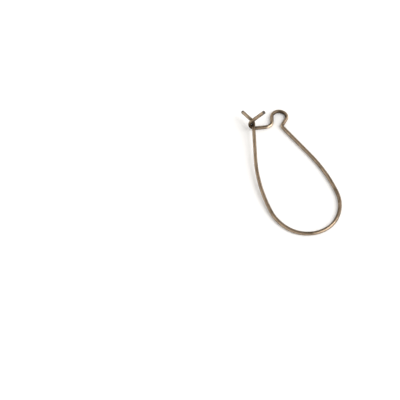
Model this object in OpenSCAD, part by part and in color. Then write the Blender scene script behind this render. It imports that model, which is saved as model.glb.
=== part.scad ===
// Kidney ear wire, fastened: one length of drawn round wire, cold bent.
// Real size in mm. The wire lies on the floor, its length along +Y, the
// round end toward -Y, the drop loop and the catch toward +Y.
// The bends are listed the way a wire bender is set: a straight length is
// fed, the wire is rolled about its own axis, then it is turned round a pin.

/* [Wire] */
// Thickness of the drawn wire
wire_d = 0.8; // [0.6:0.05:1]
// Bevel left on each cut end
end_bevel = 0.06; // [0.02:0.01:0.15]
// How much the radius of the wire shrinks in a bend
bend_thinning = 0.004; // [0.003:0.001:0.01]

/* [Round end] */
// Bend radius of the crown of the round end
crown_r = 7.2; // [6:0.1:9]
// Turn of the crown on the catch side
crown_turn = 45; // [30:0.5:60]
// Turn of the crown on the pierce side
pierce_crown_turn = 55.5; // [40:0.5:65]

/* [Catch side] */
// Bend radius of the shoulder
shoulder_r = 9.9; // [8:0.1:13]
// Turn of the shoulder
shoulder_turn = 44; // [30:0.5:55]
// Radius of the slow bow along the leg
bow_r = 40; // [25:1:90]
// Turn of the slow bow
bow_turn = 17.7; // [10:0.1:30]
// Straight length from the bow up to the kink
leg_len = 9.95; // [6:0.05:13]

/* [Drop loop] */
// Bend radius of the kink under the loop
kink_r = 0.65; // [0.55:0.05:1.2]
// Turn of the kink
kink_turn = 62.5; // [45:0.5:75]
// Straight length from the kink up to the loop
rise_len = 1.95; // [1.2:0.05:4]
// Bend radius of the loop
loop_r = 1.7; // [1.2:0.05:2.4]
// Turn of the loop
loop_turn = 205.5; // [180:0.5:215]
// Straight length down from the loop
fall_len = 1.65; // [0.5:0.05:3]
// Bend radius from the loop out to the arm
elbow_r = 1.55; // [1:0.05:2.5]
// Turn from the loop out to the arm
elbow_turn = 81.5; // [65:0.5:95]

/* [Catch] */
// Straight arm between the drop loop and the catch
arm_len = 2.35; // [1.5:0.05:4]
// Bend radius of the catch, which stands up from the flat of the wire
catch_r = 1.5; // [1.3:0.05:1.9]
// Turn of the catch
catch_turn = 136; // [110:1:150]
// Straight end beyond the catch, a guide for the pierce end
guide_len = 3.9; // [2:0.05:5]

/* [Pierce side] */
// Bend radius of the shoulder on the pierce side
pierce_shoulder_r = 10.7; // [8:0.1:14]
// Turn of the shoulder on the pierce side
pierce_shoulder_turn = 31.3; // [20:0.1:45]
// Radius of the slow bow along the pierce leg
pierce_bow_r = 41.5; // [25:0.5:90]
// Turn of the slow bow along the pierce leg
pierce_bow_turn = 20.8; // [10:0.1:30]
// Straight length that goes into the catch
pierce_len = 9.8; // [6:0.1:13]
// Roll of the wire that lifts the pierce leg off the flat, up into the catch
pierce_lift = 4.3; // [3:0.1:6]
// Bend radius of the flare at the pierce end
flare_r = 1.6; // [1:0.1:4]
// Turn of the flare, away from the drop loop
flare_turn = 39; // [15:1:50]
// Straight length of the flare up to the cut end
flare_len = 3.3; // [2:0.05:5]

/* [Hidden] */
wire_r = wire_d / 2;
// Facet count of the round sections
round_n = 48;
// Facet count of a full turn of a bend
turn_n = 96;
// Points taken along one bend to find the size of the whole wire
bend_samples = 24;
// How far a thinned bend runs on inside the full wire on each side of it,
// so that the two always join in a clean circle
lap = 0.04;

// One row per bend: [fed length, roll, bend radius, turn, thinning].
// A turn above zero goes to the left of the travel, below zero to the right.
// The shoulders are wide enough to keep the full thickness of the wire.
catch_run = [
    [0, 0, shoulder_r, shoulder_turn, 0],
    [0, 0, bow_r, bow_turn, bend_thinning],
    [leg_len, 0, kink_r, -kink_turn, bend_thinning],
    [rise_len, 0, loop_r, loop_turn, bend_thinning],
    [fall_len, 0, elbow_r, -elbow_turn, bend_thinning],
    [arm_len, 90, catch_r, catch_turn, bend_thinning]
];
pierce_run = [
    [0, -pierce_lift, pierce_shoulder_r, -pierce_shoulder_turn, 0],
    [0, 0, pierce_bow_r, -pierce_bow_turn, bend_thinning],
    [pierce_len, 0, flare_r, flare_turn, bend_thinning]
];

// Frames are 4x4 matrices; the wire travels along the frame's own +Y.
function move(x, y, z) = [[1, 0, 0, x], [0, 1, 0, y], [0, 0, 1, z], [0, 0, 0, 1]];
function turn_z(a) = [[cos(a), -sin(a), 0, 0], [sin(a), cos(a), 0, 0], [0, 0, 1, 0], [0, 0, 0, 1]];
function turn_y(a) = [[cos(a), 0, sin(a), 0], [0, 1, 0, 0], [-sin(a), 0, cos(a), 0], [0, 0, 0, 1]];
function bend(r, a) = let (s = sign(a) * r) move(-s, 0, 0) * turn_z(a) * move(s, 0, 0);
function spot(m) = [m[0][3], m[1][3], m[2][3]];

// Frame at the start of row i, with the run begun at frame m.
function frame_at(run, m, i) =
    i == 0 ? m : frame_at(run, m, i - 1) * move(0, run[i - 1][0], 0)
        * turn_y(run[i - 1][1]) * bend(run[i - 1][2], run[i - 1][3]);

// Points along the middle of the wire, for its overall size.
function middle(run, m, end_len) = [
    for (i = [0 : len(run) - 1])
        let (f = frame_at(run, m, i) * move(0, run[i][0], 0) * turn_y(run[i][1]))
            for (k = [0 : bend_samples]) spot(f * bend(run[i][2], run[i][3] * k / bend_samples)),
    spot(frame_at(run, m, len(run)) * move(0, end_len, 0))
];

catch_start = turn_z(-90) * bend(crown_r, crown_turn);
pierce_start = turn_z(90) * bend(crown_r, -pierce_crown_turn);
all_points = concat([[0, 0, 0]], middle(catch_run, catch_start, guide_len),
    middle(pierce_run, pierce_start, flare_len));
xs = [for (p = all_points) p[0]];
ys = [for (p = all_points) p[1]];
mid_x = (min(xs) + max(xs)) / 2;
mid_y = (min(ys) + max(ys)) / 2;
lay_down = move(-mid_x, -mid_y, wire_r);

// A straight length of full wire along +Y.
module straight(length) {
    if (length > 0) rotate([-90, 0, 0]) cylinder(h = length, r = wire_r, $fn = round_n);
}

// A straight length of full wire along +Y, cut off with a small bevel.
module cut_length(length) {
    rotate([-90, 0, 0]) rotate_extrude($fn = round_n)
        polygon([[0, 0], [wire_r, 0], [wire_r, length - end_bevel],
            [wire_r - end_bevel, length], [0, length]]);
}

// A bend begun along +Y. A thinned one runs on by the lap at both ends.
module curve(r, a, thinning) {
    extra = thinning > 0 ? lap / r * 180 / PI : 0;
    translate([-sign(a) * r, 0, 0]) rotate([0, 0, (a > 0 ? 0 : 180 + a) - extra])
        rotate_extrude(angle = abs(a) + 2 * extra, $fn = turn_n)
            translate([r, 0]) circle(r = wire_r - thinning, $fn = round_n);
}

// All rows of a run, then its straight cut end.
module bent(run, start, end_len) {
    for (i = [0 : len(run) - 1]) multmatrix(frame_at(run, start, i)) {
        straight(run[i][0]);
        translate([0, run[i][0], 0]) rotate([0, run[i][1], 0])
            curve(run[i][2], run[i][3], run[i][4]);
    }
    multmatrix(frame_at(run, start, len(run))) cut_length(end_len);
}

module ear_wire() {
    color([0.42, 0.33, 0.22]) union() {
        multmatrix(lay_down * pierce_start * turn_z(180))
            curve(crown_r, crown_turn + pierce_crown_turn, bend_thinning);
        bent(catch_run, lay_down * catch_start, guide_len);
        bent(pierce_run, lay_down * pierce_start, flare_len);
    }
}

ear_wire();
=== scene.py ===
"""Kidney ear wire, fastened and lying on a pale floor.

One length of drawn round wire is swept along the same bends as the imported
solid, with the marks that bending and cutting leave, and gets an antique
bronze finish.
"""
import math
from collections import namedtuple

import bpy
import numpy as np
from bpy.props import FloatProperty, FloatVectorProperty, IntProperty, PointerProperty
from mathutils import Matrix, Vector, noise


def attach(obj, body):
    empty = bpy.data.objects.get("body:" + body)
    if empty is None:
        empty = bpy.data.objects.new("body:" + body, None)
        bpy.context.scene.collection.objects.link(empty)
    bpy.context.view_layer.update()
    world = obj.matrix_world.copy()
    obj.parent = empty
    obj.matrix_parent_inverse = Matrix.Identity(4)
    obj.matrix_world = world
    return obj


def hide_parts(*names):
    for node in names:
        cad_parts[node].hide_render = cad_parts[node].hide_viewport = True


bl_info = {
    "name": "Kidney Ear Wire",
    "version": (1, 0, 0),
    "blender": (4, 5, 0),
    "location": "View3D > Sidebar > Ear Wire",
    "description": "Builds a fastened kidney ear wire in antique bronze on a pale floor",
    "category": "Add Mesh",
}

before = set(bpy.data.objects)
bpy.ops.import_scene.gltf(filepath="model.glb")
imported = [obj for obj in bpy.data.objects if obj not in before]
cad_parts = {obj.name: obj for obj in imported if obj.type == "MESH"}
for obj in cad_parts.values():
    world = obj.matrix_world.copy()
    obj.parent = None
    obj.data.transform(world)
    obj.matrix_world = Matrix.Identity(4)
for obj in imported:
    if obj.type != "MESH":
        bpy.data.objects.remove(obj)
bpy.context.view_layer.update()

MM = 0.001
DEG = math.pi / 180
UP = Vector((0, 0, 1))
ORIGIN = Vector((0, 0, 0))


def length(text, note, mm):
    """A size, given in mm."""
    return FloatProperty(name=text, description=note, default=mm * MM, min=0.0,
                         unit="LENGTH", precision=5)


def position(text, note, mm):
    """A place along one axis, given in mm."""
    return FloatProperty(name=text, description=note, default=mm * MM,
                         unit="LENGTH", precision=5)


def angle(text, note, degrees):
    """A turn, given in degrees."""
    return FloatProperty(name=text, description=note, default=degrees * DEG, subtype="ANGLE")


def watts(text, note, value):
    """The power of a light."""
    return FloatProperty(name=text, description=note, default=value, min=0.0, unit="POWER")


def amount(text, note, value, high=1.0):
    """A plain number from 0 up to a limit."""
    return FloatProperty(name=text, description=note, default=value, min=0.0, max=high)


def colour(text, note, rgb):
    """A linear colour."""
    return FloatVectorProperty(name=text, description=note, default=rgb, size=3,
                               min=0.0, max=1.0, subtype="COLOR")


class WireSizes(bpy.types.PropertyGroup):
    """The bends of the wire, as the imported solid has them."""

    wire_d: length("Wire", "Thickness of the drawn wire", 0.8)
    crown_r: length("Crown radius", "Bend radius of the crown of the round end", 7.2)
    crown_turn: angle("Crown turn", "Turn of the crown on the catch side", 45)
    pierce_crown_turn: angle("Pierce crown turn", "Turn of the crown on the pierce side", 55.5)
    shoulder_r: length("Shoulder radius", "Bend radius of the catch side's shoulder", 9.9)
    shoulder_turn: angle("Shoulder turn", "Turn of the catch side's shoulder", 44)
    bow_r: length("Bow radius", "Radius of the slow bow on the catch side", 40)
    bow_turn: angle("Bow turn", "Turn of the bow on the catch side", 17.7)
    leg_len: length("Leg", "Straight length from the bow up to the kink", 9.95)
    kink_r: length("Kink radius", "Bend radius of the kink", 0.65)
    kink_turn: angle("Kink turn", "Turn of the kink", 62.5)
    rise_len: length("Rise", "Straight length from the kink up to the loop", 1.95)
    loop_r: length("Loop radius", "Bend radius of the drop loop", 1.7)
    loop_turn: angle("Loop turn", "Turn of the drop loop", 205.5)
    fall_len: length("Fall", "Straight length down from the loop", 1.65)
    elbow_r: length("Elbow radius", "Bend radius from the loop out to the arm", 1.55)
    elbow_turn: angle("Elbow turn", "Turn from the loop out to the arm", 81.5)
    arm_len: length("Arm", "Straight arm between the loop and the catch", 2.35)
    catch_r: length("Catch radius", "Bend radius of the catch", 1.5)
    catch_turn: angle("Catch turn", "Turn of the catch", 136)
    guide_len: length("Guide", "Straight end beyond the catch", 3.9)
    pierce_shoulder_r: length("Pierce shoulder radius", "Shoulder on the pierce side", 10.7)
    pierce_shoulder_turn: angle("Pierce shoulder turn", "Turn of that shoulder", 31.3)
    pierce_bow_r: length("Pierce bow radius", "Radius of the slow bow on the pierce side", 41.5)
    pierce_bow_turn: angle("Pierce bow turn", "Turn of the bow on the pierce side", 20.8)
    pierce_len: length("Pierce leg", "Straight length that goes into the catch", 9.8)
    pierce_lift: angle("Pierce lift", "Roll that lifts the pierce leg up into the catch", 4.3)
    flare_r: length("Flare radius", "Bend radius of the flare", 1.6)
    flare_turn: angle("Flare turn", "Turn of the flare", 39)
    flare_len: length("Flare", "Straight length of the flare up to the cut end", 3.3)


class WireMarks(bpy.types.PropertyGroup):
    """What drawing, bending and cutting leave on the wire."""

    sides: IntProperty(name="Sides", description="Points round the wire", default=48, min=16)
    long_step: length("Long step", "Distance between rings in the wide bends", 0.085)
    tight_step: length("Tight step", "Distance between rings in tight bends and straights", 0.042)
    squeeze: amount("Squeeze", "How much a bend flattens the wire towards its centre", 0.08)
    pin_flat: length("Pin flat", "Depth of the flat that the bending pin leaves", 0.012)
    wiper_flat: length("Wiper flat", "Depth of the flat that the bending arm wipes outside", 0.01)
    jaw_flat: length("Jaw flat", "Depth of the flats that the holding jaws leave", 0.012)
    ripple: length("Ripple", "Depth of the slow unevenness of the drawn surface", 0.0025)
    rim_inset: length("Rim inset", "How far the rounded rim of a cut end draws in", 0.10)
    rim_depth: length("Rim depth", "How far the rounding runs back along the wire", 0.13)
    shear: length("Shear", "How far the cut leans across the wire", 0.06)
    tear: length("Tear", "Roughness of the torn half of a cut face", 0.008)


class BronzeFinish(bpy.types.PropertyGroup):
    """The antique bronze along the wire."""

    plate: colour("Plate", "Plated metal under the patina", (0.367, 0.277, 0.197))
    patina: colour("Patina", "Dark oxide in the hollows and tight bends", (0.085, 0.063, 0.042))
    rubbed: colour("Rubbed", "Metal rubbed bright on the high sides", (0.58, 0.48, 0.36))
    # Near black painted shade, standing in for the shade inside the catch where the leg sits
    painted_shade_colour: colour("Painted_shade", "Near black film where the leg sits in the catch", (0.042, 0.030, 0.020))
    rim: colour("Rim", "Share of the metal's shine left where it is seen edge on", (0.03, 0.027, 0.024))
    patina_amount: amount("Patina amount", "How much oxide is left on the open wire", 0.58)
    line_dirt: amount("Line dirt", "How much oxide fills the drawn lines", 0.55)
    nick_dirt: amount("Nick dirt", "How much oxide fills the nicks", 0.5)
    rub_amount: amount("Rub amount", "How much of the high sides is rubbed bright", 0.45)
    rub_cover: amount("Rub cover", "How fully the rubbing clears the oxide", 0.9)
    jaw_shine: amount("Jaw shine", "How bright the holding jaws press their flats", 0.35)
    # How fully the painted shade inside the catch covers the metal
    painted_shade_cover: amount("Film cover", "How fully the film in the catch hides the metal", 0.75)
    clean_roughness: amount("Clean roughness", "Roughness of the metal without oxide", 0.18)
    oxide_roughness: amount("Oxide roughness", "Roughness of the metal under full oxide", 0.36)
    rub_roughness: amount("Rub roughness", "Roughness that the rubbing adds", 0.18)
    grain_roughness: amount("Grain roughness", "Roughness that the grain of the oxide adds", 0.10)
    oxide_metallic: amount("Oxide metallic", "How metallic the full oxide still looks", 0.9)
    oxide_shine: amount("Oxide shine", "Specular level of the oxide", 0.25)
    grain_depth: length("Grain depth", "Depth of the grain of the oxide", 0.0016)
    line_depth: length("Line depth", "Depth of the drawn lines", 0.006)
    nick_depth: length("Nick depth", "Depth of the nicks", 0.012)


class CutFinish(bpy.types.PropertyGroup):
    """The dull metal of the cut ends."""

    metal: colour("Metal", "Dulled metal of the cut faces", (0.09, 0.085, 0.08))
    nick_dirt: amount("Nick dirt", "How much oxide fills the nicks", 0.6)
    smooth: amount("Smooth", "Roughness where the grain is low", 0.45)
    rough: amount("Rough", "Roughness where the grain is high", 0.62)
    metallic: amount("Metallic", "How metallic the cut faces look", 0.85)
    grain_depth: length("Grain depth", "Depth of the grain of the oxide", 0.004)
    line_depth: length("Line depth", "Depth of the lines of the shearing blade", 0.010)
    nick_depth: length("Nick depth", "Depth of the nicks", 0.014)


class StageSizes(bpy.types.PropertyGroup):
    """The floor, the light and the camera."""

    floor: colour("Floor", "Plain pale floor", (0.93, 0.93, 0.93))
    floor_size: length("Floor size", "Side of the square floor", 1600)
    floor_shade: amount("Floor shade", "Brightness of the floor's faint darker patches", 0.992)
    floor_roughness: amount("Floor roughness", "Roughness of the floor", 0.85)
    floor_shine: amount("Floor shine", "Specular level of the floor", 0.2)
    paper_depth: length("Paper depth", "Depth of the floor's fine grain", 0.01)
    lens: FloatProperty(name="Lens", description="Focal length of the camera, in mm",
                        default=130.0, min=1.0, unit="CAMERA")
    distance: length("Camera distance", "From the camera to the floor point it looks at", 320)
    elevation: angle("Camera elevation", "Angle of the view above the floor", 52)
    heading: angle("Camera heading", "Turn of the view from +Y towards +X", 19.0)
    aim_x: position("Aim X", "Where the middle of the view meets the floor, along X", -21.44)
    aim_y: position("Aim Y", "Where the middle of the view meets the floor, along Y", -1.41)
    light_distance: length("Light distance", "From the object to the soft box and the card", 600)
    key_power: watts("Key power", "Power of the soft box", 2.2)
    key_size: length("Key size", "Side of the soft box", 420)
    key_elevation: angle("Key elevation", "Height of the soft box above the floor", 46)
    key_side: angle("Key side", "Turn of the soft box from the view's right towards the camera", 9)
    card_power: watts("Card power", "Power of the low white card", 1.8)
    card_width: length("Card width", "Width of the low card", 700)
    card_height: length("Card height", "Height of the low card", 200)
    card_elevation: angle("Card elevation", "Height of the low card above the floor", 12)
    card_side: angle("Card side", "Turn of the low card, the same way as the soft box", 32)
    low_room: amount("Low room", "Brightness of the room near the floor", 1.04, 5.0)
    overhead: amount("Overhead", "Brightness of the room overhead", 0.5, 5.0)
    sides: amount("Sides", "How much brighter the room is to the left and right", 1.75, 5.0)
    behind: amount("Behind", "Brightness of the room behind the camera, as a share", 0.95, 5.0)
    room_colour: colour("Room colour", "Warm white of the room's walls", (1.0, 0.975, 0.94))


# A bend with the named straight that is fed before it. A turn above zero goes to the left.
Bend = namedtuple("Bend", "stretch fed roll name radius turn")
# A ring of the mesh. Its fill is the share of the wire's radius that it has.
Station = namedtuple("Station", "place travel inward curve part fill", defaults=[1.0])
# A kind of soft noise
Clouds = namedtuple("Clouds", "scale detail roughness")
# The soft edge of a mask: its top place, its fall as the amount goes from 0 to 1, its softness
Edge = namedtuple("Edge", "top fall soft")

# Bends of a smaller radius get the tight step
TIGHT_BEND = 3.2 * MM
# Rings across the face of a cut end, and round its rim
FACE_RINGS = 5
RIM_RINGS = 7
# How far the mesh stays inside the solid
SKIN = 0.005 * MM
# Smallest tightness that a direction is divided by
TINY = 1e-6

# Reach of the blur that eases the wire into a bend
BEND_EASE = 0.16 * MM
# Tightness, the wire's radius over the bend's, at which the bending tools start to leave
# their flats, at which the flats are full, and at which the wear is full
FLAT_FROM = 0.12
FLAT_FULL = 0.24
WEAR_FULL = 0.25
# A flat is cut only where the surface faces the tool by more than this
FLAT_FACING = 0.3

# The parts that the holding jaws grip in the middle, and half the width of the jaws
JAW_PARTS = ("rise", "fall", "arm", "guide")
JAW_HALF = 0.42 * MM
# How square the ends of a flat and of its shine are
JAW_FLAT_ENDS = 4
JAW_SHINE_ENDS = 8
# How squarely a point faces the jaws where their shine starts
JAW_SHINE_FROM = 0.9

# Place round the ring, as a share of a turn, where a cut leans furthest back into the wire
CUT_SIDE = 1 / 3
# How far back from a cut its lean still shows
LEAN_REACH = 0.5 * MM
# Share of the way from the middle of a cut to its edge at which it is fully torn
TORN_FULL = 0.5
# Sizes of the torn grit and of the drawn surface's unevenness
GRIT_SIZE = 0.06 * MM
RIPPLE_LENGTH = 0.9 * MM

# The bake map has rows of wire, each with margins, and discs for the cut ends in its last row
STRIPS = 7
STRIP_LEFT = 0.01
STRIP_WIDTH = 0.97
STRIP_FOOT = 0.06
STRIP_HEIGHT = 0.88
DISC_RADIUS = 0.44

# The parts that slide through the ear, the rubbing there, and the rubbing of what faces up
SLID_PARTS = ("flare", "flare end")
SLID_RUB = 0.45
RAISED_RUB = 0.25
# The parts that nothing rubs, and the oxide kept there
UNTOUCHED_PARTS = ("fall", "guide")
UNTOUCHED_OXIDE = 0.2
# Distances from the catch up to which the painted shade is full, and at which it ends
PAINTED_SHADE_FULL = 0.825 * MM
PAINTED_SHADE_END = 2.2 * MM
# Distances from a cut end up to which the metal is bare, and at which the finish is whole
BARE_END = 0.5 * MM
BARE_FULL = BARE_END / 3

# Drawn lines, how long they are drawn out, and the heights between which they fill with dirt
LINES = Clouds(16.0, 3.0, 0.65)
LINE_LONGNESS = 40.0
DIRT_FROM = 0.52
DIRT_FULL = 0.34
# Lines of the shearing blade, drawn out across the cut
SHEAR_LINES = {"Fineness": 14.0, "Longness": 1.0}
SHEAR_STRETCH = (0.3, 1.0, 1.0)

# Patches, streaks and grain of the oxide, and the share of each
OXIDE_PATCHES = Clouds(0.9, 5.0, 0.6)
OXIDE_STREAKS = Clouds(2.0, 2.0, 0.5)
OXIDE_GRAIN = Clouds(22.0, 3.0, 0.6)
OXIDE_STRETCH = (1.0, 1.0, 0.06)
PATCH_SHARE = 0.35
STREAK_SHARE = 0.5
GRAIN_SHARE = 0.15
SHELTER_SHARE = 0.3
OXIDE_EDGE = Edge(0.80, 0.55, 0.16)
# The oxide on the cut ends
CUT_OXIDE = {"Sheltered": 0.3, "Amount": 0.8}

# Streaks that break up the rubbing, and the weight of the high sides
RUB_STREAKS = Clouds(5.0, 4.0, 0.6)
RUB_STRETCH = (1.0, 1.0, 0.12)
HIGH_SHARE = 0.75
RUB_EDGE = Edge(1.15, 0.6, 0.3)

# Spacing of the nicks, in mm, and the share of places that have one
WIRE_NICKS = {"Spacing": 0.55, "Share": 0.3}
CUT_NICKS = {"Spacing": 0.12, "Share": 0.5}
# Distances from the middle of a nick, as shares of the spacing, of its rim and its floor
NICK_RIM = 0.22
NICK_FLOOR = 0.02

# The values that most of a soft noise lies between
CLOUD_RANGE = (0.3, 0.7)

# The floor's fine grain and faint patches
PAPER = Clouds(900.0, 3.0, 0.6)
FLOOR_PATCHES = Clouds(30.0, 2.0, 0.5)
BLACK = (0.0, 0.0, 0.0, 1.0)

# Spans over which the room changes, each as one part of a direction in it
LOW_TO_OVERHEAD = (0.25, 0.75)
MIDDLE_TO_SIDE = (0.1, 0.9)
BEHIND_TO_BESIDE = (-0.7, -0.1)

# The camera's sensor, in mm, and how near it sees
SENSOR_WIDTH = 36.0
CLIP_START = 1 * MM

# The Mix node's sockets for colours: its share and the two colours, and its result
MIX_INPUTS = (0, 6, 7)
MIX_RESULT = 2


def ramp(value, low, high):
    """0 at low, 1 at high, even between them and level beyond."""
    return np.clip((value - low) / (high - low), 0, 1)


# The path of the wire

def catch_bends(sizes):
    """From the crown to the catch."""
    return [
        Bend("", 0, 0, "crown", sizes.crown_r, sizes.crown_turn),
        Bend("", 0, 0, "shoulder", sizes.shoulder_r, sizes.shoulder_turn),
        Bend("", 0, 0, "bow", sizes.bow_r, sizes.bow_turn),
        Bend("leg", sizes.leg_len, 0, "kink", sizes.kink_r, -sizes.kink_turn),
        Bend("rise", sizes.rise_len, 0, "loop", sizes.loop_r, sizes.loop_turn),
        Bend("fall", sizes.fall_len, 0, "elbow", sizes.elbow_r, -sizes.elbow_turn),
        Bend("arm", sizes.arm_len, 90 * DEG, "catch", sizes.catch_r, sizes.catch_turn),
    ]


def pierce_bends(sizes):
    """From the crown to the pierce end."""
    return [
        Bend("", 0, 0, "crown", sizes.crown_r, -sizes.pierce_crown_turn),
        Bend("", 0, -sizes.pierce_lift, "shoulder", sizes.pierce_shoulder_r,
             -sizes.pierce_shoulder_turn),
        Bend("", 0, 0, "bow", sizes.pierce_bow_r, -sizes.pierce_bow_turn),
        Bend("pierce leg", sizes.pierce_len, 0, "flare", sizes.flare_r, sizes.flare_turn),
    ]


def follow(bends, travel, end_part, end_len, marks):
    """Stations along one run, from the crown at the origin."""
    place, axis = ORIGIN.copy(), UP.copy()
    out = [Station(place.copy(), travel.copy(), ORIGIN, 0.0, "crown")]

    def straight(part, fed):
        nonlocal place
        count = math.ceil(fed / marks.tight_step)
        for k in range(1, count + 1):
            there = place + travel * fed * k / count
            out.append(Station(there, travel.copy(), ORIGIN, 0.0, part))
        place = place + travel * fed

    for bend in bends:
        if bend.fed:
            straight(bend.stretch, bend.fed)
        axis = Matrix.Rotation(bend.roll, 3, travel) @ axis
        side = 1 if bend.turn > 0 else -1
        centre = place + axis.cross(travel) * bend.radius * side
        step = marks.tight_step if bend.radius < TIGHT_BEND else marks.long_step
        count = math.ceil(abs(bend.turn) * bend.radius / step)
        for k in range(1, count + 1):
            turn = Matrix.Rotation(bend.turn * k / count, 3, axis)
            there = centre + turn @ (place - centre)
            inward = (centre - there).normalized()
            out.append(Station(there, turn @ travel, inward, 1 / bend.radius, bend.name))
        place, travel = out[-1].place, out[-1].travel
    straight(end_part, end_len)
    return out


def wire_path(sizes, marks):
    """Stations from the pierce end to the end of the guide, laid on the floor."""
    catch = follow(catch_bends(sizes), Vector((1, 0, 0)), "guide", sizes.guide_len, marks)
    pierce = follow(pierce_bends(sizes), Vector((-1, 0, 0)), "flare end", sizes.flare_len, marks)
    path = [s._replace(travel=-s.travel) for s in reversed(pierce[1:])] + catch
    xs, ys = [s.place.x for s in path], [s.place.y for s in path]
    shift = Vector(((min(xs) + max(xs)) / 2, (min(ys) + max(ys)) / 2, -sizes.wire_d / 2))
    path = [s._replace(place=s.place - shift) for s in path]
    first, last = path[0], path[-1]
    path = [s for s in path if clear_of(s, first, marks) and clear_of(s, last, marks)]
    pierce_end = cut_end(first, first.travel, sizes, marks)
    guide_end = cut_end(last, -last.travel, sizes, marks)
    return pierce_end + path + guide_end[::-1]


def clear_of(station, end, marks):
    """Whether a station leaves room for the rim of a cut end."""
    return (station.place - end.place).length > marks.rim_depth + marks.tight_step / 2


def cut_end(end, into, sizes, marks):
    """Stations of a cut end, out from the middle of its face and round its rim."""
    rim = 1 - marks.rim_inset / (sizes.wire_d / 2)
    out = [end._replace(fill=rim * k / FACE_RINGS) for k in range(1, FACE_RINGS)]
    for k in range(RIM_RINGS + 1):
        turn = 90 * DEG * k / RIM_RINGS
        place = end.place + into * marks.rim_depth * (1 - math.cos(turn))
        out.append(end._replace(place=place, fill=rim + (1 - rim) * math.sin(turn)))
    return out


# The surface of the wire

class Sweep:
    """The rings of the wire as arrays, with what the marks need.

    Each ring has its tightness, the wire's radius over the bend's. Each point has its
    facing, which is 1 on the inner side of a bend and -1 on the outer side.
    """

    def __init__(self, path, sizes, marks):
        self.radius = sizes.wire_d / 2 - SKIN
        self.place = np.array([s.place for s in path])
        self.travel = np.array([s.travel for s in path])
        self.part = np.array([s.part for s in path])
        self.fill = np.array([s.fill for s in path])
        gaps = np.linalg.norm(np.diff(self.place, axis=0), axis=1)
        self.along = np.concatenate([[0.0], np.cumsum(gaps)])
        self.turns = 2 * np.pi * np.arange(marks.sides) / marks.sides
        self.across = self.carried_frames()
        bent = np.array([s.inward for s in path]) * np.array([[s.curve] for s in path])
        bent = self.eased(bent * self.radius)
        self.tight = np.linalg.norm(bent, axis=1)
        inward = bent / np.maximum(self.tight, TINY)[:, None]
        self.facing = np.einsum("nkc,nc->nk", self.across, inward)

    def carried_frames(self):
        """Directions round each ring, carried along the wire without twisting."""
        side = np.cross(self.travel[0], UP)
        rings = []
        for t in self.travel:
            side = side - t * side.dot(t)
            side /= np.linalg.norm(side)
            other = np.cross(t, side)
            rings.append(np.outer(np.cos(self.turns), side) + np.outer(np.sin(self.turns), other))
        return np.array(rings)

    def eased(self, values):
        """A value per ring, blurred along the wire."""
        apart = self.along[:, None] - self.along[None, :]
        weight = np.exp(-0.5 * (apart / BEND_EASE) ** 2) * np.gradient(self.along)[None, :]
        return weight @ values / weight.sum(axis=1)[:, None]

    def share_in(self, parts):
        """How far each ring is within the named parts, from 0 to 1."""
        return self.eased(1.0 * np.isin(self.part, parts)[:, None])

    def middle_of(self, part):
        """Length along the wire at the middle of a named part."""
        return self.along[self.part == part].mean()

    def unrolled(self):
        """Place of each point on the wire as it was before bending."""
        out = self.fill[:, None] * self.radius
        along = np.broadcast_to(self.along[:, None], self.facing.shape)
        return np.stack([out * np.cos(self.turns), out * np.sin(self.turns), along], axis=-1)


def flattened(reach, facing, depth, radius):
    """Cuts the round wire back to a flat of this depth on the side that faces it."""
    flat = (radius - depth) / np.maximum(facing, FLAT_FACING)
    return np.minimum(reach, np.where(facing > FLAT_FACING, flat, np.inf))


def ring_reach(sweep, marks):
    """Distance from the middle of the wire to its surface, point by point."""
    r = sweep.radius
    reach = r * (1 - marks.squeeze * sweep.tight[:, None] * sweep.facing ** 2)
    hard = ramp(sweep.tight, FLAT_FROM, FLAT_FULL)[:, None]
    reach = flattened(reach, sweep.facing, marks.pin_flat * hard, r)
    reach = flattened(reach, -sweep.facing, marks.wiper_flat * hard, r)
    for part in JAW_PARTS:
        pressed, facing = jaw_marks(sweep, part, JAW_FLAT_ENDS)
        reach = flattened(reach, facing, marks.jaw_flat * pressed, r)
        reach = flattened(reach, -facing, marks.jaw_flat * pressed, r)
    return (reach - marks.ripple * ripples(sweep)) * sweep.fill[:, None]


def jaw_marks(sweep, part, ends):
    """How hard the jaws press each ring of a part, and how squarely each point faces them."""
    apart = (sweep.along - sweep.middle_of(part)) / JAW_HALF
    pressed = np.clip(1 - apart ** ends, 0, 1)[:, None]
    return pressed, sweep.across @ jaw_side(sweep, part)


def jaw_side(sweep, part):
    """The way the holding jaws close, square to the plane of the hoop or of the catch."""
    if part != "guide":
        return np.array(UP)
    before = sweep.travel[sweep.part == "arm"][0]
    after = sweep.travel[sweep.part == "guide"][0]
    side = np.cross(before, after)
    return side / np.linalg.norm(side)


def soft_noise(spot):
    """Smooth noise, from 0 to 1."""
    return (1 + noise.noise(Vector(spot))) / 2


def ripples(sweep):
    """Slow unevenness of the drawn surface, from 0 to 1."""
    return np.array([[soft_noise((math.cos(t), math.sin(t), along)) for t in sweep.turns]
                     for along in sweep.along / RIPPLE_LENGTH])


def grit(points):
    """Fine roughness of torn metal, from 0 to 1."""
    return np.array([[soft_noise(spot) for spot in ring] for ring in points / GRIT_SIZE])


def surface_points(sweep, reach, marks):
    """Every point of the wire, with the cuts at both ends leaning and half torn.

    The rings of a cut's face have no depth behind the end, and only they are torn.
    """
    points = sweep.place[:, None, :] + sweep.across * reach[:, :, None]
    side = round(CUT_SIDE * len(sweep.turns))
    for end, way_in in ((0, 1), (-1, -1)):
        depth = np.abs(sweep.along - sweep.along[end])[:, None]
        sideways = sweep.across @ sweep.across[end, side] * reach / sweep.radius
        lean = marks.shear * (1 + sideways) / 2 * ramp(depth, LEAN_REACH, 0) ** 2
        torn = marks.tear * ramp(sideways, 0, TORN_FULL) * (depth == 0) * grit(points)
        points += (lean + torn)[:, :, None] * way_in * sweep.travel[end]
    return points


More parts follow.
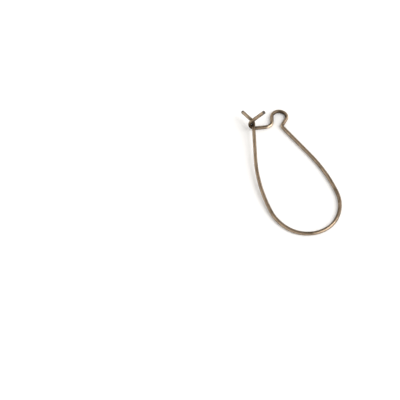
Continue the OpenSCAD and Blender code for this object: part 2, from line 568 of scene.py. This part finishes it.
def face_corners(rings, sides):
    """The ring, and the place round it, of the four corners of each face."""
    ring, turn = np.meshgrid(np.arange(rings - 1), np.arange(sides), indexing="ij")
    ring = np.stack([ring, ring, ring + 1, ring + 1], axis=-1).reshape(-1, 4)
    turn = np.stack([turn, turn + 1, turn + 1, turn], axis=-1).reshape(-1, 4)
    return ring, turn


def bake_places(sweep, ring, turn):
    """A square map for face corners: the wire in strips, and a disc for each cut end."""
    rows = STRIPS + 1
    share = turn / len(sweep.turns)
    strip_len = sweep.along[-1] / STRIPS
    strip = np.minimum(sweep.along[ring[:, :1]] // strip_len, STRIPS - 1)
    across = STRIP_LEFT + STRIP_WIDTH * (sweep.along[ring] / strip_len - strip)
    up = strip + STRIP_FOOT + STRIP_HEIGHT * share
    reach = DISC_RADIUS * sweep.fill[ring]
    far_end = ring[:, :1] > len(sweep.along) // 2
    disc_across = 0.5 + far_end + reach * np.cos(2 * np.pi * share)
    disc_up = 0.5 + STRIPS + reach * np.sin(2 * np.pi * share)
    on_end = np.ptp(sweep.along[ring], axis=1, keepdims=True) == 0
    across = np.where(on_end, disc_across / rows, across)
    up = np.where(on_end, disc_up, up) / rows
    return np.stack([across, up], axis=-1).reshape(-1, 2)


def wire_mesh(sweep, marks):
    """The whole wire as one closed mesh, with its bake map."""
    points = surface_points(sweep, ring_reach(sweep, marks), marks)
    rings, sides = points.shape[:2]
    ring, turn = face_corners(rings, sides)
    faces = (ring * sides + turn % sides).tolist()
    # One face in the middle of each cut end closes the wire
    first, last = np.arange(sides)[None, ::-1], np.arange(sides)[None, :]
    faces += first.tolist() + (last + (rings - 1) * sides).tolist()
    mesh = bpy.data.meshes.new("bronze_ear_wire")
    mesh.from_pydata(points.reshape(-1, 3).tolist(), [], faces)
    places = [bake_places(sweep, ring, turn), bake_places(sweep, 0 * first, first),
              bake_places(sweep, 0 * last + rings - 1, last)]
    layer = mesh.uv_layers.new(name="OFBake")
    layer.data.foreach_set("uv", np.concatenate(places).astype(np.float32).ravel())
    on_end = np.ptp(sweep.along[ring], axis=1) == 0
    slots = np.concatenate([on_end, [True, True]]).astype(np.int32)
    mesh.polygons.foreach_set("material_index", slots)
    mesh.shade_smooth()
    return mesh


def wear_values(sweep):
    """For each point, from 0 to 1: rubbed outer sides, sheltered inner sides and jaw marks."""
    tight = ramp(sweep.tight, 0, WEAR_FULL)[:, None]
    raised = np.clip(sweep.across[:, :, 2], 0, 1)
    rubbed = np.clip(-sweep.facing, 0, 1) * tight + RAISED_RUB * raised
    rubbed += SLID_RUB * sweep.share_in(SLID_PARTS)
    sheltered = np.clip(sweep.facing, 0, 1) * tight
    sheltered += UNTOUCHED_OXIDE * sweep.share_in(UNTOUCHED_PARTS)
    held = np.zeros_like(rubbed)
    for part in JAW_PARTS:
        pressed, facing = jaw_marks(sweep, part, JAW_SHINE_ENDS)
        held += pressed * ramp(np.abs(facing), JAW_SHINE_FROM, 1)
    return {"rubbed": rubbed, "sheltered": sheltered, "held": held}


def end_values(sweep):
    """For each point, from 0 to 1: painted shade where the leg sits in the catch, and the bare ends."""
    catch = sweep.place[sweep.part == "catch"].mean(axis=0)
    apart = np.linalg.norm(sweep.place - catch, axis=1)[:, None]
    end = np.minimum(sweep.along, sweep.along[-1] - sweep.along)[:, None]
    painted_shade = ramp(apart, PAINTED_SHADE_END, PAINTED_SHADE_FULL)
    bare = ramp(end, BARE_END, BARE_FULL)
    shape = sweep.facing.shape
    return {"painted_shade": np.broadcast_to(painted_shade, shape), "bare": np.broadcast_to(bare, shape)}


def give_values(mesh, name, values, kind="FLOAT"):
    """Stores a value, or a vector, for each point of the mesh."""
    field = "value" if kind == "FLOAT" else "vector"
    layer = mesh.attributes.new(name, kind, "POINT")
    layer.data.foreach_set(field, np.ascontiguousarray(values, dtype=np.float32).ravel())


# Shader node helpers

class Nodes:
    """Adds nodes to one tree and joins them."""

    def __init__(self, tree):
        self.tree = tree
        tree.nodes.clear()

    def add(self, kind, inputs=(), **settings):
        """A node with its settings, whose inputs are values or the sockets they come from."""
        node = self.tree.nodes.new(kind)
        for name, value in settings.items():
            setattr(node, name, value)
        for name, value in dict(inputs).items():
            self.give(node.inputs[name], value)
        return node

    def give(self, socket, value):
        """Sets a socket to a value, or joins it to the socket that the value comes from."""
        if isinstance(value, bpy.types.NodeSocket):
            self.tree.links.new(value, socket)
        else:
            socket.default_value = value

    def math(self, operation, first, second=0.0):
        """One step of arithmetic."""
        return self.add("ShaderNodeMath", {0: first, 1: second}, operation=operation).outputs[0]

    def plus(self, first, second):
        """The sum of two values."""
        return self.math("ADD", first, second)

    def times(self, first, second):
        """The product of two values."""
        return self.math("MULTIPLY", first, second)

    def blend(self, share, first, second):
        """The first colour, with a share of the second laid over it."""
        node = self.add("ShaderNodeMix", data_type="RGBA")
        for socket, value in zip(MIX_INPUTS, (share, first, second)):
            self.give(node.inputs[socket], value)
        return node.outputs[MIX_RESULT]

    def spread(self, value, low, high, to_low=0.0, to_high=1.0):
        """Maps low..high to to_low..to_high, and stops at both."""
        names = ("Value", "From Min", "From Max", "To Min", "To Max")
        node = self.add("ShaderNodeMapRange", dict(zip(names, (value, low, high, to_low, to_high))))
        return node.outputs[0]

    def mask(self, value, share, edge):
        """1 where the value is high, beyond a soft edge that moves down as the share grows."""
        low = self.math("SUBTRACT", edge.top, self.times(share, edge.fall))
        return self.spread(value, low, self.plus(low, edge.soft))

    def stretch(self, spot, scale):
        """A place with each of its parts scaled."""
        node = self.add("ShaderNodeVectorMath", {0: spot, 1: scale}, operation="MULTIPLY")
        return node.outputs[0]

    def clouds(self, spot, kind):
        """Soft noise from 0 to 1."""
        names = ("Vector", "Scale", "Detail", "Roughness")
        return self.add("ShaderNodeTexNoise", dict(zip(names, (spot, *kind)))).outputs[0]

    def attribute(self, name, output="Fac"):
        """A value that is stored on the mesh."""
        return self.add("ShaderNodeAttribute", attribute_name=name).outputs[output]

    def group(self, tree, inputs):
        """An effect, placed with its own values."""
        return self.add("ShaderNodeGroup", inputs, node_tree=tree).outputs

    def bump(self, heights):
        """One bump after another, from pairs of a height and its depth."""
        normal = None
        for height, depth in heights:
            node = self.add("ShaderNodeBump", {"Height": height, "Distance": depth})
            if normal:
                self.give(node.inputs["Normal"], normal)
            normal = node.outputs[0]
        return normal


def rgba(rgb):
    """A colour as its socket takes it."""
    return (*rgb, 1.0)


def new_group(name, inputs, outputs):
    """An empty node group with named sockets, as its nodes, its inputs and its end."""
    tree = bpy.data.node_groups.new(name, "ShaderNodeTree")
    for text, kind, value in inputs:
        socket = tree.interface.new_socket(text, in_out="INPUT", socket_type="NodeSocket" + kind)
        if value is not None:
            socket.default_value = value
    for text, kind in outputs:
        tree.interface.new_socket(text, in_out="OUTPUT", socket_type="NodeSocket" + kind)
    nodes = Nodes(tree)
    return nodes, nodes.add("NodeGroupInput").outputs, nodes.add("NodeGroupOutput").inputs


def new_material(name):
    """A material with one shader, as the material, its nodes and the shader's inputs."""
    material = bpy.data.materials.new(name)
    material.use_nodes = True
    nodes = Nodes(material.node_tree)
    shader = nodes.add("ShaderNodeBsdfPrincipled")
    output = nodes.add("ShaderNodeOutputMaterial")
    nodes.give(output.inputs["Surface"], shader.outputs[0])
    return material, nodes, shader.inputs


# Effects on the metal

def drawn_lines_group():
    """Fine lines along the wire, left by the drawing die."""
    nodes, given, out = new_group(
        "Drawn lines",
        [("Spot", "Vector", None), ("Fineness", "Float", LINES.scale),
         ("Longness", "Float", LINE_LONGNESS)],
        [("Height", "Float"), ("Dirt", "Float")])
    shrink = nodes.math("DIVIDE", 1.0, given["Longness"])
    scale = nodes.add("ShaderNodeCombineXYZ", {"X": 1.0, "Y": 1.0, "Z": shrink}).outputs[0]
    spot = nodes.stretch(given["Spot"], scale)
    lines = nodes.clouds(spot, LINES._replace(scale=given["Fineness"]))
    nodes.give(out["Height"], lines)
    nodes.give(out["Dirt"], nodes.spread(lines, DIRT_FROM, DIRT_FULL))
    return nodes.tree


def patina_group():
    """Cloudy oxide in streaks along the wire, thicker where a bend shelters it."""
    nodes, given, out = new_group(
        "Patina clouds",
        [("Spot", "Vector", None), ("Sheltered", "Float", 0.0), ("Amount", "Float", 0.5)],
        [("Mask", "Float"), ("Grain", "Float")])
    patches = nodes.clouds(given["Spot"], OXIDE_PATCHES)
    streaks = nodes.clouds(nodes.stretch(given["Spot"], OXIDE_STRETCH), OXIDE_STREAKS)
    grain = nodes.clouds(given["Spot"], OXIDE_GRAIN)
    oxide = nodes.times(patches, PATCH_SHARE)
    oxide = nodes.plus(oxide, nodes.times(streaks, STREAK_SHARE))
    oxide = nodes.plus(oxide, nodes.times(grain, GRAIN_SHARE))
    oxide = nodes.plus(oxide, nodes.times(given["Sheltered"], SHELTER_SHARE))
    nodes.give(out["Mask"], nodes.mask(oxide, given["Amount"], OXIDE_EDGE))
    nodes.give(out["Grain"], grain)
    return nodes.tree


def rubbed_group():
    """Metal rubbed bright on the high sides, broken up along the wire."""
    nodes, given, out = new_group(
        "Rubbed sides",
        [("Spot", "Vector", None), ("High side", "Float", 0.0), ("Amount", "Float", 0.3)],
        [("Mask", "Float")])
    streaks = nodes.clouds(nodes.stretch(given["Spot"], RUB_STRETCH), RUB_STREAKS)
    worn = nodes.plus(nodes.times(given["High side"], HIGH_SHARE), streaks)
    nodes.give(out["Mask"], nodes.mask(worn, given["Amount"], RUB_EDGE))
    return nodes.tree


def nicks_group():
    """Small nicks and pits, none on most of the wire."""
    nodes, given, out = new_group(
        "Small nicks",
        [("Spot", "Vector", None), ("Spacing", "Float", WIRE_NICKS["Spacing"]),
         ("Share", "Float", WIRE_NICKS["Share"])],
        [("Height", "Float"), ("Mask", "Float")])
    scale = nodes.math("DIVIDE", 1.0, given["Spacing"])
    cells = nodes.add("ShaderNodeTexVoronoi", {"Vector": given["Spot"], "Scale": scale})
    chance = nodes.add("ShaderNodeSeparateColor", {"Color": cells.outputs["Color"]}).outputs[0]
    chosen = nodes.math("LESS_THAN", chance, given["Share"])
    pit = nodes.times(nodes.spread(cells.outputs["Distance"], NICK_RIM, NICK_FLOOR), chosen)
    nodes.give(out["Height"], nodes.times(pit, -1.0))
    nodes.give(out["Mask"], pit)
    return nodes.tree


def effect_groups():
    """The effects, each built once."""
    return {
        "lines": drawn_lines_group(),
        "patina": patina_group(),
        "rubbed": rubbed_group(),
        "nicks": nicks_group(),
    }


# The two finishes

def antique_bronze(bronze, cut, groups):
    """Bronze plate with brown oxide, rubbed bright on the high sides, with painted shade in the catch.
    """
    material, nodes, shader = new_material("Antique bronze")
    spot = nodes.attribute("unbent", "Vector")
    lines = nodes.group(groups["lines"], {
        "Spot": spot, "Fineness": LINES.scale, "Longness": LINE_LONGNESS})
    patina = nodes.group(groups["patina"], {
        "Spot": spot, "Sheltered": nodes.attribute("sheltered"), "Amount": bronze.patina_amount})
    rubbed = nodes.group(groups["rubbed"], {
        "Spot": spot, "High side": nodes.attribute("rubbed"), "Amount": bronze.rub_amount})
    nicks = nodes.group(groups["nicks"], {"Spot": spot, **WIRE_NICKS})
    pressed = nodes.times(nodes.attribute("held"), bronze.jaw_shine)
    bright = nodes.math("MAXIMUM", rubbed["Mask"], pressed)

    base = nodes.blend(patina["Mask"], rgba(bronze.plate), rgba(bronze.patina))
    base = nodes.blend(nodes.times(lines["Dirt"], bronze.line_dirt), base, rgba(bronze.patina))
    base = nodes.blend(nodes.times(bright, bronze.rub_cover), base, rgba(bronze.rubbed))
    base = nodes.blend(nodes.times(nicks["Mask"], bronze.nick_dirt), base, rgba(bronze.patina))
    base = nodes.blend(nodes.attribute("bare"), base, rgba(cut.metal))
    # Painted shade: near black laid over the metal where the leg sits in the catch
    painted_shade = nodes.times(nodes.attribute("painted_shade"), bronze.painted_shade_cover)
    base = nodes.blend(painted_shade, base, rgba(bronze.painted_shade_colour))
    nodes.give(shader["Base Color"], base)

    dull = nodes.spread(patina["Mask"], 0.0, 1.0, bronze.clean_roughness, bronze.oxide_roughness)
    dull = nodes.plus(dull, nodes.times(bright, bronze.rub_roughness))
    dull = nodes.plus(dull, nodes.times(patina["Grain"], bronze.grain_roughness))
    nodes.give(shader["Roughness"], dull)
    nodes.give(shader["Metallic"], nodes.spread(patina["Mask"], 0.0, 1.0, 1.0, bronze.oxide_metallic))
    shader["Specular Tint"].default_value = rgba(bronze.rim)
    shader["Specular IOR Level"].default_value = bronze.oxide_shine
    nodes.give(shader["Normal"], nodes.bump([
        (patina["Grain"], bronze.grain_depth), (lines["Height"], bronze.line_depth),
        (nicks["Height"], bronze.nick_depth)]))
    return material


def cut_bronze(bronze, cut, groups):
    """The dull metal of the two cut ends."""
    material, nodes, shader = new_material("Cut bronze")
    spot = nodes.attribute("unbent", "Vector")
    across = nodes.stretch(spot, SHEAR_STRETCH)
    lines = nodes.group(groups["lines"], {"Spot": across, **SHEAR_LINES})
    patina = nodes.group(groups["patina"], {"Spot": spot, **CUT_OXIDE})
    nicks = nodes.group(groups["nicks"], {"Spot": spot, **CUT_NICKS})

    base = nodes.blend(patina["Mask"], rgba(cut.metal), rgba(bronze.patina))
    base = nodes.blend(nodes.times(nicks["Mask"], cut.nick_dirt), base, rgba(bronze.patina))
    nodes.give(shader["Base Color"], base)
    dull = nodes.spread(patina["Grain"], *CLOUD_RANGE, cut.smooth, cut.rough)
    nodes.give(shader["Roughness"], dull)
    shader["Metallic"].default_value = cut.metallic
    nodes.give(shader["Normal"], nodes.bump([
        (patina["Grain"], cut.grain_depth), (lines["Height"], cut.line_depth),
        (nicks["Height"], cut.nick_depth)]))
    return material


# The stage

def pale_floor(stage):
    """The material of the floor, almost plain."""
    material, nodes, shader = new_material("Pale floor")
    spot = nodes.add("ShaderNodeNewGeometry").outputs["Position"]
    shade = nodes.spread(nodes.clouds(spot, FLOOR_PATCHES), *CLOUD_RANGE, stage.floor_shade, 1.0)
    nodes.give(shader["Base Color"], nodes.blend(shade, BLACK, rgba(stage.floor)))
    nodes.give(shader["Normal"], nodes.bump([(nodes.clouds(spot, PAPER), stage.paper_depth)]))
    shader["Roughness"].default_value = stage.floor_roughness
    shader["Specular IOR Level"].default_value = stage.floor_shine
    return material


def floor_object(stage):
    """One square face that the wire lies on."""
    half = stage.floor_size / 2
    mesh = bpy.data.meshes.new("floor")
    corners = [(-half, -half, 0), (half, -half, 0), (half, half, 0), (-half, half, 0)]
    mesh.from_pydata(corners, [], [(0, 1, 2, 3)])
    mesh.materials.append(pale_floor(stage))
    return bpy.data.objects.new("floor", mesh)


def room_light(stage):
    """A pale room, brighter to the left and right, darker overhead and behind the camera."""
    world = bpy.data.worlds.new("Room")
    world.use_nodes = True
    nodes = Nodes(world.node_tree)
    way = nodes.add("ShaderNodeTexCoord").outputs["Generated"]
    way = nodes.add("ShaderNodeVectorRotate", {"Vector": way, "Angle": stage.heading},
                    rotation_type="Z_AXIS").outputs[0]
    right, ahead, up = nodes.add("ShaderNodeSeparateXYZ", {0: way}).outputs
    glow = nodes.spread(up, *LOW_TO_OVERHEAD, stage.low_room, stage.overhead)
    aside = nodes.spread(nodes.math("ABSOLUTE", right), *MIDDLE_TO_SIDE, 1.0, stage.sides)
    glow = nodes.times(glow, aside)
    glow = nodes.times(glow, nodes.spread(ahead, *BEHIND_TO_BESIDE, stage.behind, 1.0))
    light = nodes.add("ShaderNodeBackground", {"Color": rgba(stage.room_colour), "Strength": glow})
    output = nodes.add("ShaderNodeOutputWorld")
    nodes.give(output.inputs["Surface"], light.outputs[0])
    return world


def direction(heading, elevation):
    """The way with this turn from +Y towards +X, and this angle above the floor."""
    level = math.cos(elevation)
    return Vector((math.sin(heading) * level, math.cos(heading) * level, math.sin(elevation)))


def aimed(name, data, place, target):
    """A light or camera at a place, looking at a target."""
    made = bpy.data.objects.new(name, data)
    made.location = place
    made.rotation_euler = (target - place).to_track_quat("-Z", "Y").to_euler()
    bpy.context.scene.collection.objects.link(made)
    return made


def soft_light(stage, name, power, size, elevation, side):
    """A flat light on the view's right, turned towards the camera by an angle."""
    light = bpy.data.lights.new(name, "AREA")
    light.energy = power
    light.shape = "RECTANGLE"
    light.size, light.size_y = size
    way = direction(stage.heading + 90 * DEG + side, elevation)
    return aimed(name, light, way * stage.light_distance, ORIGIN)


def camera(stage):
    """The camera, which looks ahead and down at a point on the floor."""
    data = bpy.data.cameras.new("camera")
    data.lens = stage.lens
    data.sensor_width = SENSOR_WIDTH
    data.clip_start = CLIP_START
    ahead = direction(stage.heading, -stage.elevation)
    target = Vector((stage.aim_x, stage.aim_y, 0))
    return aimed("camera", data, target - ahead * stage.distance, target)


# Operators

class OBJECT_OT_ear_wire(bpy.types.Operator):
    """Sweep the bent wire and give it its finish"""

    bl_idname = "object.ear_wire"
    bl_label = "Ear Wire"
    bl_options = {"REGISTER", "UNDO"}

    def execute(self, context):
        scene = context.scene
        sizes, marks = scene.ear_wire_sizes, scene.ear_wire_marks
        bronze, cut = scene.ear_wire_bronze, scene.ear_wire_cut
        sweep = Sweep(wire_path(sizes, marks), sizes, marks)
        mesh = wire_mesh(sweep, marks)
        give_values(mesh, "unbent", sweep.unrolled() / MM, "FLOAT_VECTOR")
        for name, values in {**wear_values(sweep), **end_values(sweep)}.items():
            give_values(mesh, name, values)
        groups = effect_groups()
        mesh.materials.append(antique_bronze(bronze, cut, groups))
        mesh.materials.append(cut_bronze(bronze, cut, groups))
        wire = bpy.data.objects.new("bronze_ear_wire", mesh)
        scene.collection.objects.link(wire)
        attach(wire, "root")
        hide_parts("ear_wire")
        return {"FINISHED"}


class OBJECT_OT_ear_wire_stage(bpy.types.Operator):
    """Lay the pale floor, and set the light and the camera"""

    bl_idname = "object.ear_wire_stage"
    bl_label = "Stage"
    bl_options = {"REGISTER", "UNDO"}

    def execute(self, context):
        scene = context.scene
        stage = scene.ear_wire_stage
        floor = floor_object(stage)
        scene.collection.objects.link(floor)
        scene.world = room_light(stage)
        soft_light(stage, "soft_box", stage.key_power, (stage.key_size, stage.key_size),
                   stage.key_elevation, stage.key_side)
        soft_light(stage, "low_card", stage.card_power, (stage.card_width, stage.card_height),
                   stage.card_elevation, stage.card_side)
        scene.camera = camera(stage)
        scene.view_settings.view_transform = "Standard"
        return {"FINISHED"}


class VIEW3D_PT_ear_wire(bpy.types.Panel):
    """Lists the pieces and their values"""

    bl_label = "Kidney Ear Wire"
    bl_idname = "VIEW3D_PT_ear_wire"
    bl_space_type = "VIEW_3D"
    bl_region_type = "UI"
    bl_category = "Ear Wire"

    def draw(self, context):
        for operator, groups in PANEL_ROWS:
            box = self.layout.box()
            box.operator(operator)
            for name in groups:
                values = getattr(context.scene, name)
                for key in values.__annotations__:
                    box.prop(values, key)


WIRE_GROUPS = ("ear_wire_sizes", "ear_wire_marks", "ear_wire_bronze", "ear_wire_cut")
PANEL_ROWS = (
    (OBJECT_OT_ear_wire.bl_idname, WIRE_GROUPS),
    (OBJECT_OT_ear_wire_stage.bl_idname, ("ear_wire_stage",)),
)
GROUPS = {
    "ear_wire_sizes": WireSizes,
    "ear_wire_marks": WireMarks,
    "ear_wire_bronze": BronzeFinish,
    "ear_wire_cut": CutFinish,
    "ear_wire_stage": StageSizes,
}
CLASSES = (*GROUPS.values(), OBJECT_OT_ear_wire, OBJECT_OT_ear_wire_stage, VIEW3D_PT_ear_wire)


def register():
    for cls in CLASSES:
        bpy.utils.register_class(cls)
    for name, cls in GROUPS.items():
        setattr(bpy.types.Scene, name, PointerProperty(type=cls))


def unregister():
    for name in GROUPS:
        delattr(bpy.types.Scene, name)
    for cls in reversed(CLASSES):
        bpy.utils.unregister_class(cls)


def main():
    register()
    bpy.ops.object.ear_wire()
    bpy.ops.object.ear_wire_stage()


if __name__ == "__main__":
    main()
